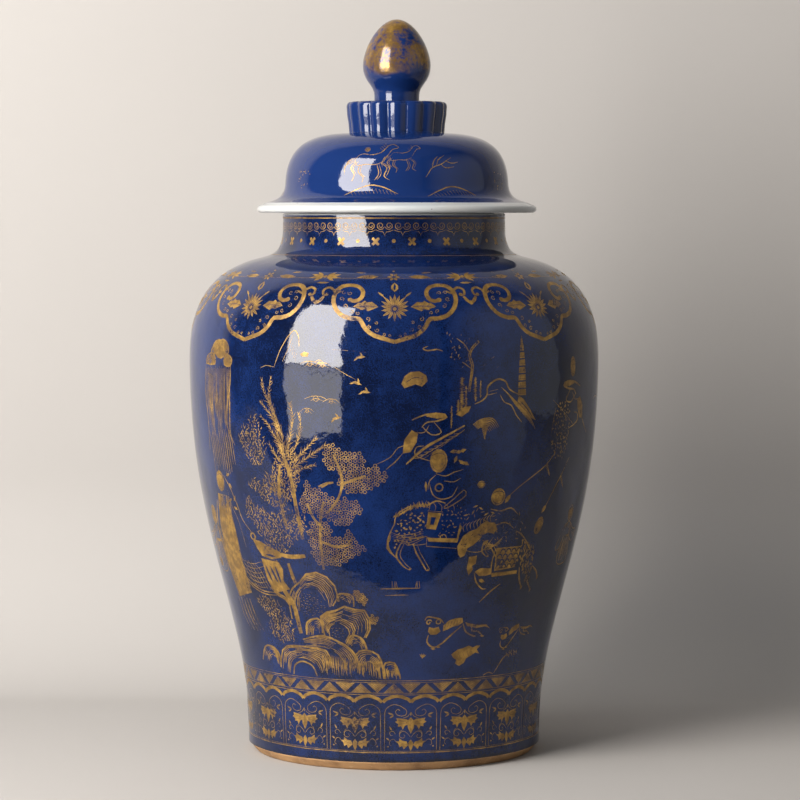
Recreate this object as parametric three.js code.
// A lidded baluster jar in glazed porcelain: a hollow jar on a foot ring, and a domed lid with a fluted collar
// and a bud knop that lifts off the mouth. Millimetres, +Z up, origin on the ground at the jar's axis, front to -Y.
import * as THREE from 'three';

// Jar, outside: radii
const footRadius = 124.5;
const bellyRadius = 174;
const neckRadius = 94.5;
const neckFlare = 17.5;

// Jar, outside: each stretch's height, from the ground up
const bareFootHeight = 7.5;
const waistRise = 11.5;
const bellyRise = 314;
const shoulderRise = 86.4;
const neckFlareRise = 25.6;
const neckRise = 11.6;

// Jar, wall and underside
const jarWall = 8;
const mouthChamfer = 1.6;
const bareFootInset = 5.5;
const footRingWidth = 14;
const footRecess = 8;
const floorThickness = 10;
const floorCorner = 14;

// Lid: radii, and heights above the mouth that it rests on
const seatGap = 0.3;
const lidPlay = 4;
const flangeDepth = 14;
const flangeThickness = 6;
const brimRadius = 118.6;
const brimEdge = 4;
const brimLipHeight = 6.8;
const domeRadius = 94.7;
const domeFootHeight = 27;
const domeRise = 40.3;
const lidWall = 6.5;

// Collar on the dome's top, round in plan with lobes side by side
const collarFootRadius = 40.4;
const collarRadius = 42.6;
const collarHeight = 26.6;
const collarLip = 2.2;
const collarDish = 5;
const lobeCount = 16;
const lobeDepth = 2.6;

// Knop: each height counts from the one before it, the first from the collar's top
const stemRadius = 19.1;
const stemFillet = 2;
const stemRise = 5.4;
const knopRadius = 28.8;
const knopBellyRise = 25;
const knopTipRise = 39.3;

// How far the outline's curves lean before they turn, each as a share of its own rise or inset
const waistLean = 0.306;
const bellyLean = 0.478;
const shoulderLean = 0.39;
const shoulderCrest = 0.9;
const shoulderSlope = 0.22;
const neckLean = 0.72;
const brimSweep = 0.34;
const brimToe = 0.23;
const brimLean = 0.91;
const domeLean = 0.71;
const domeCrest = 0.66;
const knopLean = 0.36;
const knopCrest = 0.55;

// Facets round each piece. The lid has four to a lobe.
const jarFacets = 48;
const lidFacets = 4 * lobeCount;

const jarHeight = bareFootHeight + waistRise + bellyRise + shoulderRise + neckFlareRise + neckRise;
const domeHeight = domeFootHeight + domeRise;
const glaze = new THREE.MeshStandardMaterial({ color: 0x1d3a78, roughness: 0.12, metalness: 0 });

const point = (radius, height) => new THREE.Vector2(radius, height);

// The points of a cubic curve, without its first one, so that stretches of an outline follow on
function curve(from, leave, arrive, to, steps) {
  return new THREE.CubicBezierCurve(from, leave, arrive, to).getPoints(steps).slice(1);
}

// An outline moved sideways by a wall's thickness, to the left of its direction
function offset(outline, thickness) {
  return outline.map((here, i) => {
    const before = outline[Math.max(i - 1, 0)];
    const after = outline[Math.min(i + 1, outline.length - 1)];
    const along = after.clone().sub(before).normalize();
    return point(here.x - along.y * thickness, here.y + along.x * thickness);
  });
}

// The wall's outside from the waist up over the belly and shoulder to the mouth
function jarWallOutline() {
  const inset = bellyRadius - neckRadius - neckFlare;
  const slope = point(-1, shoulderSlope).normalize();
  const waist = point(footRadius, bareFootHeight + waistRise);
  const belly = point(bellyRadius, waist.y + bellyRise);
  const neckRoot = point(neckRadius + neckFlare, belly.y + shoulderRise);
  const neck = point(neckRadius, neckRoot.y + neckFlareRise);
  return [
    waist,
    ...curve(
      waist,
      point(waist.x, waist.y + waistLean * bellyRise),
      point(belly.x, belly.y - bellyLean * bellyRise),
      belly,
      6,
    ),
    ...curve(
      belly,
      point(belly.x, belly.y + shoulderLean * shoulderRise),
      neckRoot.clone().addScaledVector(slope, -shoulderCrest * inset),
      neckRoot,
      6,
    ),
    ...curve(
      neckRoot,
      neckRoot.clone().addScaledVector(slope, neckLean * neckFlare),
      point(neck.x, neck.y - neckLean * neckFlareRise),
      neck,
      4,
    ),
    point(neckRadius, jarHeight),
  ];
}

// The closed outline of the jar, from the middle of its underside round the foot, wall and mouth to the floor inside
function jarOutline() {
  const outside = jarWallOutline();
  const floorHeight = footRecess + floorThickness;
  const floorRadius = footRadius - jarWall;
  const inside = offset(outside, jarWall).filter((p) => p.y > floorHeight + 2 * floorCorner);
  const mouthRadius = neckRadius - jarWall;
  const bareRadius = footRadius - bareFootInset;
  const ringInside = bareRadius - footRingWidth;
  return [
    point(0, footRecess),
    point(ringInside - footRecess / 2, footRecess),
    point(ringInside, mouthChamfer),
    point(ringInside + mouthChamfer, 0),
    point(bareRadius - mouthChamfer, 0),
    point(bareRadius, mouthChamfer),
    point(footRadius, bareFootHeight),
    ...outside.slice(0, -1),
    point(neckRadius, jarHeight - mouthChamfer),
    point(neckRadius - mouthChamfer, jarHeight),
    point(mouthRadius + mouthChamfer, jarHeight),
    point(mouthRadius, jarHeight - mouthChamfer),
    ...inside.slice(0, -1).reverse(),
    point(floorRadius, floorHeight + floorCorner),
    point(floorRadius - 0.3 * floorCorner, floorHeight + 0.3 * floorCorner),
    point(floorRadius - floorCorner, floorHeight),
    point(0, floorHeight),
  ];
}

// The lid's brim, from under its edge over the rounded rim and up the hollow curve to the dome's foot
function brimOutline() {
  const lip = point(brimRadius - brimEdge, brimLipHeight);
  const foot = point(domeRadius, domeFootHeight);
  const rise = foot.y - lip.y;
  return [
    point(brimRadius - brimEdge, 0),
    point(brimRadius - 0.22 * brimEdge, 0.15 * brimLipHeight),
    point(brimRadius, 0.45 * brimLipHeight),
    point(brimRadius - 0.25 * brimEdge, 0.7 * brimLipHeight),
    lip,
    ...curve(
      lip,
      point(lip.x - brimSweep * (lip.x - foot.x), lip.y + brimToe * rise),
      point(foot.x, foot.y - brimLean * rise),
      foot,
      4,
    ),
  ];
}

// The dome's outside, from its foot above the brim to the collar
function domeOutline() {
  const foot = point(domeRadius, domeFootHeight);
  const top = point(collarFootRadius, domeHeight);
  const inset = foot.x - top.x;
  return [
    foot,
    ...curve(
      foot,
      point(foot.x - 0.04 * inset, foot.y + domeLean * domeRise),
      point(top.x + domeCrest * inset, top.y),
      top,
      5,
    ),
  ];
}

// The collar's outline, with how much of the lobes' depth each of its points takes
function collarOutline() {
  const dishRadius = (collarRadius + stemRadius) / 2;
  const top = domeHeight + collarHeight;
  return [
    { at: point(collarFootRadius, domeHeight + 1), lobed: 1 },
    { at: point(collarRadius, top - collarLip), lobed: 1 },
    { at: point(collarRadius - 0.3 * collarLip, top - 0.3 * collarLip), lobed: 1 },
    { at: point(collarRadius - collarLip, top), lobed: 0.8 },
    { at: point(collarRadius - 2.4 * collarLip, top - 0.5 * collarLip), lobed: 0.5 },
    { at: point(dishRadius, top - collarDish), lobed: 0 },
  ];
}

// The knop on its stem, from the collar's dish up to the tip on the axis
function knopOutline() {
  const dish = domeHeight + collarHeight - collarDish;
  const stem = point(stemRadius, domeHeight + collarHeight + stemRise);
  const belly = point(knopRadius, stem.y + knopBellyRise);
  const tip = point(0, belly.y + knopTipRise);
  return [
    point(stemRadius + stemFillet, dish),
    point(stemRadius, dish + stemFillet),
    stem,
    ...curve(
      stem,
      point(stem.x, stem.y + knopLean * knopBellyRise),
      point(belly.x, belly.y - knopCrest * knopBellyRise),
      belly,
      3,
    ),
    ...curve(
      belly,
      point(belly.x, belly.y + knopLean * knopTipRise),
      point(knopCrest * belly.x, tip.y),
      tip,
      6,
    ),
  ];
}

// The closed outline of the lid, from the middle of its inside down round the flange and brim, and up to the tip
function lidOutline() {
  const flangeRadius = neckRadius - jarWall - lidPlay;
  const flangeInside = flangeRadius - flangeThickness;
  const dome = domeOutline();
  const inside = offset(dome, lidWall).slice(1).reverse();
  const plain = (p) => ({ at: p, lobed: 0 });
  return [
    plain(point(0, domeHeight - lidWall)),
    ...inside.map(plain),
    plain(point(domeRadius - lidWall, 0.55 * domeFootHeight)),
    plain(point(flangeInside, 0.15 * domeFootHeight)),
    plain(point(flangeInside, 1 - flangeDepth)),
    plain(point(flangeInside + 1, -flangeDepth)),
    plain(point(flangeRadius - 1, -flangeDepth)),
    plain(point(flangeRadius, 1 - flangeDepth)),
    plain(point(flangeRadius, 0)),
    ...brimOutline().map(plain),
    ...dome.slice(1).map(plain),
    ...collarOutline(),
    ...knopOutline().map(plain),
  ];
}

// A solid of revolution about +Z. Each point of its outline may be drawn in between the lobes round it.
function turned(outline, facets, lobes = []) {
  const geometry = new THREE.LatheGeometry(outline, facets);
  const position = geometry.getAttribute('position');
  for (let i = 0; i < position.count; i++) {
    const depth = (lobes[i % outline.length] ?? 0) * lobeDepth;
    const x = position.getX(i);
    const z = position.getZ(i);
    const radius = Math.hypot(x, z);
    if (depth === 0 || radius === 0) continue;
    const share = Math.abs(Math.cos((lobeCount / 2) * Math.atan2(x, z)));
    const scale = (radius - depth * (1 - share)) / radius;
    position.setXYZ(i, x * scale, position.getY(i), z * scale);
  }
  return geometry.rotateX(Math.PI / 2);
}

function named(name, geometry) {
  const mesh = new THREE.Mesh(geometry, glaze);
  mesh.name = name;
  return mesh;
}

const jar = named('jar', turned(jarOutline(), jarFacets));

// The lid lies loose on the mouth, pushed a little to one side within its play
const outlineOfLid = lidOutline();
const lid = named(
  'lid',
  turned(
    outlineOfLid.map(({ at }) => at),
    lidFacets,
    outlineOfLid.map(({ lobed }) => lobed),
  ),
);
lid.position.set(0.6 * lidPlay, 0, jarHeight + seatGap);

const liddedJar = new THREE.Group();
liddedJar.add(jar, lid);

export default liddedJar;
